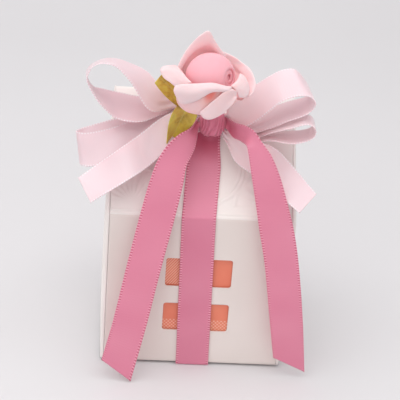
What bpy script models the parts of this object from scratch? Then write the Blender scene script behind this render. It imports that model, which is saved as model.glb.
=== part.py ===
"""A house-shaped favour box tied with satin ribbon and topped with a bow and a foam rose.

The box is a folded card sleeve of house section. Each end closes with a gable panel that
swings on the back wall and tucks behind the front wall, over three dust flaps.

X runs along the ridge, Y runs from the front wall to the back wall, and Z is up. The
origin is the middle of the footprint, on the surface that the tied box stands on.
"""
import math

import bmesh
import bpy
from mathutils import Matrix, Vector

MM = 0.001
WELD = 0.00002

# House
HOUSE_WIDTH = 65.0 * MM
HOUSE_DEPTH = 60.0 * MM
WALL_HEIGHT = 61.0 * MM
ROOF_RISE = 38.0 * MM
CARD = 0.5 * MM
FOLD_RADIUS = 0.6 * MM
GAP = 0.3 * MM

# Windows, one above the other in the front wall
WINDOW_WIDTH = 24.4 * MM
WINDOW_HEIGHT = 11.6 * MM
WINDOW_CORNER = 1.0 * MM
WINDOW_SHIFT = 0.7 * MM
LOWER_SILL = 14.2 * MM
UPPER_SILL = 32.9 * MM
LINER_MARGIN = 3.5 * MM
LINER = 0.2 * MM

# Closing flaps
END_INSET = 0.4 * MM
END_CROWN = 1.6 * MM
CROWN_FOOT = 0.45
CROWN_RISE = 2.2
CROWN_FALL = 2.55
LIP_RADIUS = 1.1 * MM
SLOPE_LIP = 2.0 * MM
TONGUE_LENGTH = 10.0 * MM
TONGUE_LEAN = math.radians(8.0)
TONGUE_RELIEF = 3.0 * MM
FLAP_SETBACK = 0.4 * MM
FLOOR_FLAP_HEIGHT = 14.0 * MM
ROOF_FLAP_DEPTH = 11.0 * MM
FLAP_MARGIN = 4.0 * MM
FLAP_TAPER = 6.0 * MM
SEAM_FLAP_HEIGHT = 10.0 * MM

# Ribbon and knot
RIBBON_WIDTH = 12.2 * MM
RIBBON = 0.4 * MM
WRAP_WAIST = 0.55
WRAP_FLARE = 16.0 * MM
WRAP_FOOT_SHIFT = 0.8 * MM
WRAP_EAVE_SHIFT = -0.9 * MM
WRAP_KNOT_SHIFT = 1.4 * MM
KNOT_DOWN_SLOPE = 16.8 * MM
KNOT_ASIDE = 2.4 * MM
KNOT_WIDTH = 9.6 * MM
KNOT_HEIGHT = 9.6 * MM
KNOT_RISE = 2.6 * MM
KNOT_THICKNESS = 8.6 * MM
KNOT_WRINKLES = 14.4
KNOT_WRINKLE_DEPTH = 0.05
KNOT_SHOULDER = 0.5
KNOT_END = 0.3
KNOT_BLUNTNESS = 0.6
GATHER = 0.36
GATHER_GAP = 0.42 * MM
LAYER_PITCH = 0.9 * MM
FIRST_LAYER = 2.4 * MM

# Rose
ROSE_UP = 23.4 * MM
ROSE_FORWARD = 9.5 * MM
ROSE_ASIDE = -2.6 * MM
ROSE_TILT = math.radians(22.0)
BUD_RADIUS = 8.9 * MM
BUD_HEIGHT = 8.3 * MM
WRAP_TILT = math.radians(52.0)
WRAP_MOUTH = math.radians(17.0)
WRAP_HEM = math.radians(158.0)
WRAP_START = math.radians(-70.0)
WRAP_TURN = math.radians(400.0)
WRAP_LAP = math.radians(40.0)
FOAM = 0.8 * MM
FOAM_GAP = 0.4 * MM
ROLL = math.radians(150.0)
ROLL_START = 0.75
ROOT_HEIGHT = -8.2 * MM
CALYX_RADIUS = 5.2 * MM
CALYX_WAIST = 3.4 * MM
CALYX_CUP = 1.4 * MM
CALYX_FOOT = 1.4 * MM
CALYX_DEPTH = 3.4 * MM
CALYX_PEG = 3.4 * MM
STEM_RADIUS = 0.9 * MM
STEM_END = 0.6
LEAF = 0.4 * MM
LEAF_BACK = Vector((-0.2, 0.85, -0.45))
LEAF_CREASE = 0.12
LEAF_FULLNESS = 0.7

# Worked out from the sizes above
HALF_WIDTH = HOUSE_WIDTH / 2
HALF_DEPTH = HOUSE_DEPTH / 2
BASE_Z = RIBBON + GAP
EAVE_Z = BASE_Z + WALL_HEIGHT
RIDGE_Z = EAVE_Z + ROOF_RISE
SLOPE_LENGTH = math.hypot(HALF_DEPTH, ROOF_RISE)
SLOPE_UP = Vector((0, HALF_DEPTH, ROOF_RISE)) / SLOPE_LENGTH
SLOPE_OUT = Vector((0, -ROOF_RISE, HALF_DEPTH)) / SLOPE_LENGTH
KNOT_SEAT = RIBBON + 2 * GAP
KNOT_FOOT = Vector((KNOT_ASIDE, 0, RIDGE_Z)) - SLOPE_UP * KNOT_DOWN_SLOPE
KNOT_CENTRE = KNOT_FOOT + SLOPE_OUT * (KNOT_SEAT + KNOT_THICKNESS / 2)
ANCHORS = {
    "knot": KNOT_CENTRE,
    "eave": Vector((0, -HALF_DEPTH, EAVE_Z)),
    "floor": Vector((0, -HALF_DEPTH, 0)),
}
ROSE_AXIS = Vector((0, -math.sin(ROSE_TILT), math.cos(ROSE_TILT)))
ROSE_BACK = Vector((0, math.cos(ROSE_TILT), math.sin(ROSE_TILT)))
ROSE_RIGHT = Vector((1, 0, 0))
CALYX_SEAT = ROOT_HEIGHT - 2 * (FOAM + FOAM_GAP) - FOAM / 2 - GAP
ROSE_CENTRE = KNOT_CENTRE + Vector((ROSE_ASIDE, -ROSE_FORWARD, ROSE_UP))

COLOURS = {
    "card": ((0.86, 0.82, 0.78, 1), 0.45),
    "liner": ((0.88, 0.42, 0.30, 1), 0.4),
    "deep_satin": ((0.62, 0.19, 0.31, 1), 0.35),
    "pale_satin": ((0.90, 0.66, 0.70, 1), 0.35),
    "bud_foam": ((0.96, 0.47, 0.52, 1), 0.7),
    "petal_foam": ((0.97, 0.78, 0.79, 1), 0.7),
    "leaf": ((0.42, 0.33, 0.08, 1), 0.6),
    "stem": ((0.30, 0.33, 0.14, 1), 0.7),
}


def clear_scene():
    for item in list(bpy.data.objects):
        bpy.data.objects.remove(item, do_unlink=True)


def make_collection(name, hidden=False):
    collection = bpy.data.collections.new(name)
    bpy.context.scene.collection.children.link(collection)
    collection.hide_render = hidden
    return collection


def make_material(name):
    colour, roughness = COLOURS[name]
    material = bpy.data.materials.new(name)
    material.use_nodes = True
    shader = material.node_tree.nodes["Principled BSDF"]
    shader.inputs["Base Color"].default_value = colour
    shader.inputs["Roughness"].default_value = roughness
    shader.inputs["Metallic"].default_value = 0.0
    return material


def finish(mesh, name, finish_name, origin=Vector(), smooth=True):
    """Makes one named object from a bmesh in world coordinates, with its origin moved."""
    data = bpy.data.meshes.new(name)
    bmesh.ops.translate(mesh, verts=mesh.verts, vec=-origin)
    mesh.to_mesh(data)
    mesh.free()
    if smooth:
        data.shade_smooth()
        data.set_sharp_from_angle(angle=math.radians(40))
    item = bpy.data.objects.new(name, data)
    item.location = origin
    item.data.materials.append(MATERIALS[finish_name])
    PARTS.objects.link(item)
    return item


def thicken(item, thickness, offset=0.0):
    """Gives a sheet its thickness."""
    solid = item.modifiers.new("Thickness", "SOLIDIFY")
    solid.thickness = thickness
    solid.offset = offset
    solid.use_even_offset = True
    return item


def sheet(name, finish_name, surface, across, along, thickness, origin=Vector(), ring=False):
    """A grid laid on surface(u, v), where u and v run from 0 to 1, then thickened."""
    mesh = bmesh.new()
    bmesh.ops.create_grid(mesh, x_segments=across, y_segments=along, size=0.5)
    for vert in mesh.verts:
        u = vert.co.x + 0.5
        v = vert.co.y + 0.5
        vert.co = surface(u, v)
    if ring:
        bmesh.ops.remove_doubles(mesh, verts=mesh.verts, dist=0.01 * MM)
    return thicken(finish(mesh, name, finish_name, origin), thickness)


def plate(name, finish_name, outline, thickness, origin=Vector()):
    """A flat outline, thickened half to each side."""
    mesh = bmesh.new()
    mesh.faces.new([mesh.verts.new(point) for point in outline])
    return thicken(finish(mesh, name, finish_name, origin, smooth=False), thickness)


def smooth_path(points, t):
    """The point at t, from 0 to 1, on a smooth curve through evenly counted points."""
    spans = len(points) - 1
    place = min(max(t, 0.0), 1.0) * spans
    i = min(int(place), spans - 1)
    s = place - i
    before = points[i - 1] if i > 0 else 2 * points[0] - points[1]
    after = points[i + 2] if i + 2 <= spans else 2 * points[-1] - points[-2]
    start, end = points[i], points[i + 1]
    return 0.5 * (2 * start + (end - before) * s
                  + (2 * before - 5 * start + 4 * end - after) * s * s
                  + (3 * start - before - 3 * end + after) * s ** 3)


def roof_height(y):
    """Height of the roof's outer face above a depth y."""
    return RIDGE_Z - ROOF_RISE * abs(y) / HALF_DEPTH


# Card house

def make_sleeve():
    """Floor, walls and roof in one folded strip, with the windows cut out."""
    section = [(-HALF_DEPTH, BASE_Z), (-HALF_DEPTH, EAVE_Z), (0, RIDGE_Z),
               (HALF_DEPTH, EAVE_Z), (HALF_DEPTH, BASE_Z)]
    mesh = bmesh.new()
    corners = [mesh.verts.new((-HALF_WIDTH, y, z)) for y, z in section]
    folds = [mesh.edges.new((corners[i - 1], corners[i])) for i in range(len(corners))]
    swept = bmesh.ops.extrude_edge_only(mesh, edges=folds)["geom"]
    moved = [part for part in swept if isinstance(part, bmesh.types.BMVert)]
    bmesh.ops.translate(mesh, verts=moved, vec=(HOUSE_WIDTH, 0, 0))
    bmesh.ops.recalc_face_normals(mesh, faces=mesh.faces)
    sleeve = finish(mesh, "house_sleeve", "card")
    rounding = sleeve.modifiers.new("Folds", "BEVEL")
    rounding.width = FOLD_RADIUS
    rounding.segments = 2
    rounding.limit_method = "ANGLE"
    thicken(sleeve, CARD, -1.0)
    for label, sill in (("lower", LOWER_SILL), ("upper", UPPER_SILL)):
        cut = sleeve.modifiers.new("Window " + label, "BOOLEAN")
        cut.operation = "DIFFERENCE"
        cut.solver = "EXACT"
        cut.object = window_cutter(label, sill)
    return sleeve


def window_cutter(label, sill):
    mesh = bmesh.new()
    bmesh.ops.create_cube(mesh, size=1.0)
    bmesh.ops.scale(mesh, verts=mesh.verts, vec=(WINDOW_WIDTH, 6 * CARD, WINDOW_HEIGHT))
    upright = [edge for edge in mesh.edges
               if abs(edge.verts[0].co.y - edge.verts[1].co.y) > CARD]
    bmesh.ops.bevel(mesh, geom=upright, offset=WINDOW_CORNER, segments=3, profile=0.5,
                    affect="EDGES")
    data = bpy.data.meshes.new(label + "_window_cutter")
    mesh.to_mesh(data)
    mesh.free()
    cutter = bpy.data.objects.new(data.name, data)
    cutter.location = (WINDOW_SHIFT, -HALF_DEPTH, BASE_Z + sill + WINDOW_HEIGHT / 2)
    cutter.hide_render = True
    cutter.display_type = "WIRE"
    CUTTERS.objects.link(cutter)
    return cutter


def make_liner():
    """The printed sheet glued inside the front wall, behind both windows."""
    y = -HALF_DEPTH + CARD + GAP + LINER / 2
    left = WINDOW_SHIFT - WINDOW_WIDTH / 2 - LINER_MARGIN
    right = WINDOW_SHIFT + WINDOW_WIDTH / 2 + LINER_MARGIN
    low = BASE_Z + LOWER_SILL - LINER_MARGIN
    high = BASE_Z + UPPER_SILL + WINDOW_HEIGHT + LINER_MARGIN
    plate("window_liner", "liner", [(left, y, low), (right, y, low), (right, y, high),
                                    (left, y, high)], LINER)


def make_seam_flap():
    """The strip folded up from the floor and glued inside the back wall."""
    y = HALF_DEPTH - CARD - GAP - CARD / 2
    low = BASE_Z + CARD + GAP
    high = low + SEAM_FLAP_HEIGHT
    reach = HALF_WIDTH - FLAP_MARGIN
    taper = SEAM_FLAP_HEIGHT / 4
    plate("seam_flap", "card", [(-reach, y, low), (reach, y, low), (reach - taper, y, high),
                                (taper - reach, y, high)], CARD)


# Ends, where side is -1 on the left and 1 on the right

HINGE_Y = HALF_DEPTH - CARD / 2
TUCK_Y = -(HALF_DEPTH - 1.5 * CARD - GAP)
LIP_X = HALF_WIDTH + GAP
END_LOW = BASE_Z + END_INSET
FLAP_X = HALF_WIDTH - FLAP_SETBACK - CARD / 2


def end_stand(z):
    """How far the gable panel's middle stands off the sleeve's end: a soft crown."""
    t = (z - BASE_Z) / (RIDGE_Z - BASE_Z)
    return GAP + CARD / 2 + END_CROWN * (CROWN_FOOT + CROWN_RISE * t - CROWN_FALL * t * t)


def make_end_panel(side):
    """A crowned gable that bends in along its slopes, to the hinge and to the tongue."""
    bends = [math.radians(angle) for angle in (90, 60, 30)]
    flat = [0.0, 0.1, 0.25, 0.4, 0.5, 0.6, 0.75, 0.9, 1.0]
    front_flat = TUCK_Y + LIP_RADIUS
    back_flat = HINGE_Y - LIP_RADIUS
    columns = [("back", angle) for angle in bends]
    columns += [("flat", share) for share in flat]
    columns += [("front", angle) for angle in reversed(bends)]
    rows = 12

    def surface(u, v):
        kind, value = columns[round(u * (len(columns) - 1))]
        eave_inside = EAVE_Z - END_INSET
        if kind == "flat":
            y = flat_depth(value, front_flat, back_flat)
            high = max(roof_height(y) - END_INSET / SLOPE_OUT.z, eave_inside)
            if v == 1:
                return Vector((side * (LIP_X + CARD / 2), y, high))
            z = END_LOW + (high - SLOPE_LIP - END_LOW) * v * rows / (rows - 1)
            return Vector((side * (HALF_WIDTH + end_stand(z)), y, z))
        z = END_LOW + LIP_RADIUS + (eave_inside - END_LOW - 2 * LIP_RADIUS) * v
        stand = end_stand(z)
        bend = min(LIP_RADIUS, stand - GAP)
        x = HALF_WIDTH + stand - bend * (1 - math.cos(value))
        if value > math.radians(80):
            x = LIP_X
        reach = LIP_RADIUS * math.sin(value)
        y = back_flat + reach if kind == "back" else front_flat - reach
        return Vector((side * x, y, z))

    name = side_name(side) + "_end_panel"
    hinge = Vector((side * LIP_X, HINGE_Y, 0))
    sheet(name, "card", surface, len(columns) - 1, rows, CARD, hinge)


def flat_depth(share, front, back):
    """Depth across the panel's flat part, with the middle column on the ridge line."""
    if share <= 0.5:
        return back * (1 - 2 * share)
    return front * (2 * share - 1)


def make_tongue(side):
    """The tongue on the panel's front edge, leaning away from the wall that it slips behind."""
    start = LIP_X - GAP
    tip_x = start - TONGUE_LENGTH * math.cos(TONGUE_LEAN)
    tip_y = TUCK_Y + TONGUE_LENGTH * math.sin(TONGUE_LEAN)
    low = END_LOW + CARD + 2 * GAP
    high = EAVE_Z - CARD - 3 * GAP
    name = side_name(side) + "_tuck_tongue"
    outline = [(side * start, TUCK_Y, low), (side * tip_x, tip_y, low + TONGUE_RELIEF),
               (side * tip_x, tip_y, high - TONGUE_RELIEF), (side * start, TUCK_Y, high)]
    plate(name, "card", outline, CARD, Vector((side * LIP_X, TUCK_Y, 0)))


def make_floor_flap(side):
    """The dust flap that stands on the floor's end, behind the gable panel."""
    low = BASE_Z + CARD + GAP
    high = low + FLOOR_FLAP_HEIGHT
    reach = HALF_DEPTH - FLAP_MARGIN
    x = side * FLAP_X
    outline = [(x, -reach, low), (x, reach, low), (x, reach - FLAP_TAPER, high),
               (x, FLAP_TAPER - reach, high)]
    plate(side_name(side) + "_floor_flap", "card", outline, CARD,
          Vector((x, 0, low + CARD / 2)))


def make_roof_flap(side, facing):
    """The dust flap on a roof slope's end. facing is -1 for the front slope, 1 for the back."""
    up = Vector((0, -facing * SLOPE_UP.y, SLOPE_UP.z))
    inward = Vector((0, -facing * ROOF_RISE, -HALF_DEPTH)) / SLOPE_LENGTH
    root = Vector((side * FLAP_X, facing * HALF_DEPTH, EAVE_Z)) + inward * (CARD + GAP)
    start = FLAP_TAPER
    end = (root.y * facing - 3 * GAP) / SLOPE_UP.y
    tip_end = end - ROOF_FLAP_DEPTH * abs(inward.y) / SLOPE_UP.y
    outline = [root + up * start,
               root + up * end,
               root + up * tip_end + inward * ROOF_FLAP_DEPTH,
               root + up * (start + FLAP_TAPER) + inward * ROOF_FLAP_DEPTH]
    name = side_name(side) + ("_front" if facing < 0 else "_back") + "_roof_flap"
    plate(name, "card", outline, CARD, root + up * start + inward * CARD / 2)


def side_name(side):
    return "left" if side < 0 else "right"


# Satin ribbon

def make_wrap():
    """The deep ribbon right round the house, drawn in towards the knot."""
    course = wrap_course()

    def surface(u, v):
        place = course[round(v * (len(course) - 1))]
        away = (place - KNOT_FOOT - SLOPE_UP * KNOT_RISE).length - KNOT_HEIGHT / 2
        share = WRAP_WAIST + (1 - WRAP_WAIST) * min(max(away / WRAP_FLARE, 0.0), 1.0)
        return place + Vector(((u - 0.5) * RIBBON_WIDTH * share, 0, 0))

    sheet("wrap_ribbon", "deep_satin", surface, 4, len(course) - 1, RIBBON, ring=True)


def wrap_course():
    """The ribbon's closed route round the house's section, with rounded corners."""
    under, front, back = Vector((0, 0, -1)), Vector((0, -1, 0)), Vector((0, 1, 0))
    back_slope = Vector((0, -SLOPE_OUT.y, SLOPE_OUT.z))
    corners = [
        (Vector((0, HALF_DEPTH, BASE_Z)), back, under, 3),
        (Vector((WRAP_FOOT_SHIFT, -HALF_DEPTH, BASE_Z)), under, front, 4),
        (Vector((WRAP_EAVE_SHIFT, -HALF_DEPTH, EAVE_Z)), front, SLOPE_OUT, 6),
        (Vector((WRAP_KNOT_SHIFT, KNOT_FOOT.y, KNOT_FOOT.z)), SLOPE_OUT, SLOPE_OUT, 4),
        (Vector((0, 0, RIDGE_Z)), SLOPE_OUT, back_slope, 3),
        (Vector((0, HALF_DEPTH, EAVE_Z)), back_slope, back, 3),
    ]
    clear = GAP + RIBBON / 2
    course = []
    for i, (corner, arriving, leaving, steps) in enumerate(corners):
        bend = 3 if arriving != leaving else 0
        for step in range(bend + 1):
            outward = arriving.lerp(leaving, step / max(bend, 1)).normalized()
            course.append(corner + outward * clear)
        following = corners[(i + 1) % len(corners)][0] + leaving * clear
        last = course[-1]
        course += [last.lerp(following, step / steps) for step in range(1, steps)]
    return course + [course[0].copy()]


def knot_side(side, layer, shift):
    """The middle of a ribbon's gathered end beside the knot, relative to the knot's middle."""
    rise = FIRST_LAYER + layer * LAYER_PITCH - KNOT_SEAT - KNOT_THICKNESS / 2
    reach = side * (KNOT_WIDTH / 2 + GATHER_GAP)
    return Vector((reach, 0, 0)) + SLOPE_UP * shift + SLOPE_OUT * rise


def edge_vector(lean, turn, share):
    """From one selvedge to the other: lean is its angle above level, turn is off the Y axis."""
    lean, turn = math.radians(lean), math.radians(turn)
    level = math.cos(lean)
    return RIBBON_WIDTH * share * Vector((level * math.sin(turn), level * math.cos(turn),
                                          math.sin(lean)))


def ribbon(name, finish_name, stations, start, end=None, flipped=False, steps=3):
    """A satin strip through stations of (anchor, x, y, z, lean, turn, share of full width)."""
    gather = (-SLOPE_UP if flipped else SLOPE_UP) * RIBBON_WIDTH * GATHER
    middles = [KNOT_CENTRE + knot_side(*start)]
    widths = [gather]
    for anchor, x, y, z, lean, turn, share in stations:
        middles.append(ANCHORS[anchor] + Vector((x, y, z)) * MM)
        widths.append(edge_vector(lean, turn, share))
    if end:
        middles.append(KNOT_CENTRE + knot_side(*end))
        widths.append(gather)
    near = [middle - width / 2 for middle, width in zip(middles, widths)]
    far = [middle + width / 2 for middle, width in zip(middles, widths)]

    def surface(u, v):
        return smooth_path(near, v).lerp(smooth_path(far, v), u)

    sheet(name, finish_name, surface, 2, steps * (len(middles) - 1), RIBBON)


def make_bow():
    ribbon("upper_left_loop", "pale_satin", [
        ("knot", -13.2, 4.4, 9.3, 50, 10, 0.44),
        ("knot", -20.4, -1.6, 10.9, 29, 31, 0.86),
        ("knot", -26.9, -2.1, 19.0, 4, 27, 1),
        ("knot", -33.1, -2.2, 23.4, -8, 17, 1),
        ("knot", -38.3, -2.6, 24.8, -9, 12, 1),
        ("knot", -42.6, -2.5, 23.4, -9, 6, 1),
        ("knot", -45.1, -2.5, 20.3, -6, -1, 1),
        ("knot", -45.2, -2.5, 17.5, -8, -4, 1),
        ("knot", -42.7, -2.5, 13.2, -2, -6, 1),
        ("knot", -39.0, -1.6, 10.3, 15, -4, 1),
        ("knot", -33.8, -0.7, 7.7, 30, 1, 1),
        ("knot", -25.6, -0.1, 6.7, 36, -2, 0.9),
        ("knot", -15.0, 5.2, 8.9, 50, 0, 0.5),
    ], (-1, 3, 6.4 * MM), (-1, 2, 6.4 * MM))
    ribbon("lower_left_loop", "pale_satin", [
        ("knot", -14.0, 3.2, 2.8, 50, -6, 0.46),
        ("knot", -22.8, 1.6, -0.1, 48, -11, 0.86),
        ("knot", -34.3, -0.5, -3.6, 48, -13, 1),
        ("knot", -42.6, -2.3, -6.0, 50, -18, 1),
        ("knot", -46.4, -4.0, -6.9, 53, -18, 1),
        ("knot", -47.5, -6.4, -6.7, 55, -16, 1),
        ("knot", -46.1, -8.5, -6.5, 53, -16, 1),
        ("knot", -42.4, -8.9, -6.1, 53, -13, 1),
        ("knot", -34.9, -7.3, -4.2, 45, -14, 1),
        ("knot", -27.4, -3.4, -2.3, 46, -13, 1),
        ("knot", -20.8, -1.0, 0.7, 45, -13, 0.86),
        ("knot", -13.8, 1.5, 4.2, 50, -8, 0.46),
    ], (-1, 1, 1.6 * MM), (-1, 2, 1.6 * MM))
    ribbon("left_pale_tail", "pale_satin", [
        ("knot", -12.4, -3.6, 3.6, 60, -20, 0.61),
        ("knot", -17.8, -6.0, -0.4, 50, -15, 1),
        ("knot", -23.8, -9.2, -5.1, 48, -26, 1),
        ("knot", -30.5, -15.0, -8.2, 40, -25, 1),
        ("knot", -37.4, -17.4, -12.6, 31, -25, 1),
        ("knot", -44.3, -20.7, -16.8, 37, -36, 0.85),
    ], (-1, 4, 1.6 * MM))
    ribbon("left_tail", "deep_satin", [
        ("knot", -8.3, -5.4, 2.9, -52, 76, 0.33),
        ("knot", -10.4, -9.1, 1.0, -36, 72, 0.64),
        ("knot", -12.5, -12.7, -2.4, -25, 77, 0.80),
        ("knot", -14.2, -15.6, -7.1, -14, 84, 0.86),
        ("knot", -15.9, -17.8, -14.1, -9, 89, 0.96),
        ("eave", -15.8, -4.6, 2.9, -11, 90, 1),
        ("eave", -19.8, -8.4, -16.7, -11, 90, 1),
        ("floor", -23.7, -11.4, 23.9, -11, 90, 1),
        ("floor", -27.8, -13.2, 4.6, -36, 96, 1.12),
    ], (-1, 5, 2.4 * MM), flipped=True)
    ribbon("right_tail", "deep_satin", [
        ("knot", 7.4, -5.5, 3.9, 77, -37, 0.46),
        ("knot", 9.9, -10.0, 4.6, 76, 35, 0.42),
        ("knot", 12.1, -13.7, 3.9, 50, 74, 0.38),
        ("knot", 14.2, -15.8, 1.3, 18, 84, 0.46),
        ("knot", 16.3, -17.2, -2.5, 11, 88, 0.64),
        ("knot", 18.7, -18.5, -9.0, 6, 90, 0.80),
        ("knot", 21.4, -19.8, -18.0, 1, 90, 0.92),
        ("eave", 26.6, -5.6, -0.3, 4, 90, 1),
        ("eave", 29.7, -6.8, -13.7, 4, 90, 1),
        ("floor", 33.4, -7.6, 26.6, 2, 90, 1),
        ("floor", 36.7, -6.7, 5.8, -25, 90, 1.12),
    ], (1, 5, 2.2 * MM))
    ribbon("right_pale_tail", "pale_satin", [
        ("knot", 10.2, -4.9, -4.1, 52, 15, 0.74),
        ("knot", 15.8, -7.4, -6.6, 44, 34, 0.95),
        ("knot", 20.8, -9.2, -8.5, 55, 44, 1),
        ("knot", 27.1, -12.7, -13.2, 40, 35, 1),
        ("knot", 34.5, -20.2, -18.0, 30, 47, 0.81),
    ], (1, 4, -2.4 * MM))
    ribbon("upper_right_loop", "pale_satin", [
        ("knot", 10.2, -0.2, 3.4, 41, -17, 0.53),
        ("knot", 14.3, -1.4, 8.7, 34, -21, 0.86),
        ("knot", 17.6, -2.4, 14.4, 28, -17, 1),
        ("knot", 21.2, -3.6, 18.4, 32, -18, 1),
        ("knot", 25.0, -4.1, 20.6, 33, -18, 1),
        ("knot", 29.0, -4.4, 21.3, 30, -15, 1),
        ("knot", 32.3, -3.6, 19.1, 13, -8, 1),
        ("knot", 34.2, -3.5, 16.4, 6, -5, 1),
        ("knot", 34.1, -3.0, 13.9, 6, -1, 1),
        ("knot", 31.5, -2.5, 11.6, 11, 2, 1),
        ("knot", 26.3, -1.6, 9.2, 14, 2, 1),
        ("knot", 20.1, -0.1, 5.5, 21, -1, 0.86),
        ("knot", 13.7, 1.4, 2.0, 34, -6, 0.57),
    ], (1, 3, 3.0 * MM), (1, 2, 3.0 * MM))
    ribbon("lower_right_loop", "pale_satin", [
        ("knot", 14.7, 1.0, -0.2, 45, -3, 0.46),
        ("knot", 21.1, -1.0, 2.4, 0, 5, 0.86),
        ("knot", 28.0, -5.0, 6.1, -6, 5, 1),
        ("knot", 31.8, -6.0, 8.0, -5, 4, 1),
        ("knot", 34.5, -5.9, 7.8, -3, 3, 1),
        ("knot", 36.1, -5.7, 5.7, -3, 4, 1),
        ("knot", 35.5, -5.4, 3.2, -3, 4, 1),
        ("knot", 32.6, -4.9, 1.5, -1, 5, 1),
        ("knot", 28.0, -3.9, 0.3, 1, 5, 1),
        ("knot", 21.0, -1.0, -0.4, 2, 5, 0.86),
        ("knot", 14.2, 1.5, -2.1, 45, -1, 0.5),
    ], (1, 1, 0.8 * MM), (1, 0, 0.8 * MM))


def make_knot():
    """The tied knot: a rounded lump with the slanting wrinkles of its last turns."""
    mesh = bmesh.new()
    bmesh.ops.create_uvsphere(mesh, u_segments=28, v_segments=16, radius=1.0)
    for vert in mesh.verts:
        side, up, out = vert.co.y, vert.co.z, vert.co.x
        around = math.atan2(out, up)
        wrinkle = 1 + KNOT_WRINKLE_DEPTH * math.cos(KNOT_WRINKLES * side + around)
        swell = (1 - KNOT_SHOULDER * side * side) / math.sqrt(max(1 - side * side, KNOT_END))
        across = math.copysign(abs(side) ** KNOT_BLUNTNESS, side)
        vert.co = (KNOT_CENTRE + SLOPE_UP * KNOT_RISE
                   + Vector((across * KNOT_WIDTH / 2, 0, 0))
                   + SLOPE_UP * (up * KNOT_HEIGHT / 2 * wrinkle * swell)
                   + SLOPE_OUT * (out * KNOT_THICKNESS / 2 * min(wrinkle, 1.0) * swell))
    finish(mesh, "knot", "deep_satin")


# Foam rose

def rose_point(azimuth, radius, height):
    """A point in the rose's own frame. Azimuth 0 is right, 90 is back, 270 is front."""
    angle = math.radians(azimuth)
    return (ROSE_CENTRE + ROSE_AXIS * height
            + (ROSE_RIGHT * math.cos(angle) + ROSE_BACK * math.sin(angle)) * radius)


def nested(ring, height):
    """How far from the rose's axis a petal of this ring stands where it hugs the bud."""
    offset = (ring + 0.5) * FOAM + (ring + 1) * FOAM_GAP
    share = height / (BUD_HEIGHT + offset)
    return (BUD_RADIUS + offset) * math.sqrt(max(1 - share * share, 0.0))


def petal(name, ring, root_azimuth, body, rim, curl=0.0, root_spread=0.3):
    """A cupped foam petal from the calyx to its rim, which may roll outwards.

    rim lists (azimuth in degrees, radius, height in mm) across the petal's top edge. body is
    the (radius, drop below the rim) that the petal's middle reaches for, at the rim's start
    and at its end. ring counts the petal's place outwards from the bud, curl is the length of
    its roll and root_spread is the root's share of the rim's spread.
    """
    edge = [Vector(point) for point in rim]
    root_height = ROOT_HEIGHT - ring * (FOAM + FOAM_GAP)
    root = Vector((nested(ring, root_height), root_height))

    def surface(u, v):
        azimuth, radius, height = smooth_path(edge, u)
        rise = min(v / ROLL_START, 1.0) if curl else v
        top = Vector((radius, height)) * MM
        reach, drop = Vector(body[0]).lerp(Vector(body[1]), u)
        middle = Vector((reach, height - drop)) * MM
        place = root * (1 - rise) ** 2 + middle * 2 * rise * (1 - rise) + top * rise * rise
        if rise < v:
            turn = (v - ROLL_START) / (1 - ROLL_START) * ROLL
            roll = curl * math.sqrt(math.sin(math.pi * u)) / ROLL
            outward = (top - middle).normalized()
            side = Vector((outward.y, -outward.x))
            place = place + outward * roll * math.sin(turn) + side * roll * (1 - math.cos(turn))
        else:
            place.x = max(place.x, nested(ring, place.y))
        fan = root_spread + (1 - root_spread) * rise
        return rose_point(root_azimuth + (azimuth - root_azimuth) * fan, place.x, place.y)

    sheet(name, "petal_foam", surface, 10, 11 if curl else 8, FOAM)


def make_rose():
    make_bud()
    petal("back_petal", 0, 108, ((9.9, 5), (9.9, 5)), [
        (60, 10.6, 1.5), (82, 10.0, 7.0), (103, 9.2, 12.8), (132, 11.0, 6.4),
        (164, 11.2, -2.4)])
    petal("left_petal", 0, 200, ((10.2, 3), (10.2, 3)), [
        (160, 13.6, 0.6), (171, 16.8, 2.8), (190, 16.6, 4.2), (213, 14.2, 3.0),
        (232, 11.6, 0.8)])
    petal("inner_right_petal", 0, -30, ((10.8, 2.5), (10.8, 2.5)), [
        (-50, 12.0, 1.0), (-40, 13.2, -0.2), (-28, 14.2, -0.7), (-10, 13.0, 0.3),
        (6, 11.0, 1.2)])
    petal("front_left_petal", 1, 207, ((16.5, 13), (12.0, 12)), [
        (212, 16.4, 3.4), (236, 12.8, 4.8), (265, 11.4, 5.4), (300, 12.0, 3.8)],
          curl=4.0 * MM, root_spread=0.05)
    petal("outer_right_petal", 1, 15, ((12.6, 3), (12.6, 3)), [
        (-24, 14.6, -3.0), (-8, 15.6, -2.2), (8, 15.4, -1.0), (25, 14.8, -0.3),
        (42, 13.2, 0.4), (60, 11.6, 0.6)])
    petal("front_right_petal", 2, 305, ((12.8, -7), (12.8, 2)), [
        (251, 13.4, -6.4), (266, 15.4, -6.4), (284, 15.8, -4.0), (300, 15.6, -1.6),
        (316, 14.8, 0.2)])
    make_calyx()
    make_stem()
    leaf("upper_leaf", (-10.4, -5.4, 12.6), (-20.2, -4.0, 20.2), 6.8, 0.2, 0.8)
    leaf("lower_leaf", (-10.9, -8.0, 11.0), (-18.0, -8.4, -0.4), 6.2, 0.36, 0.97)


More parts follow.
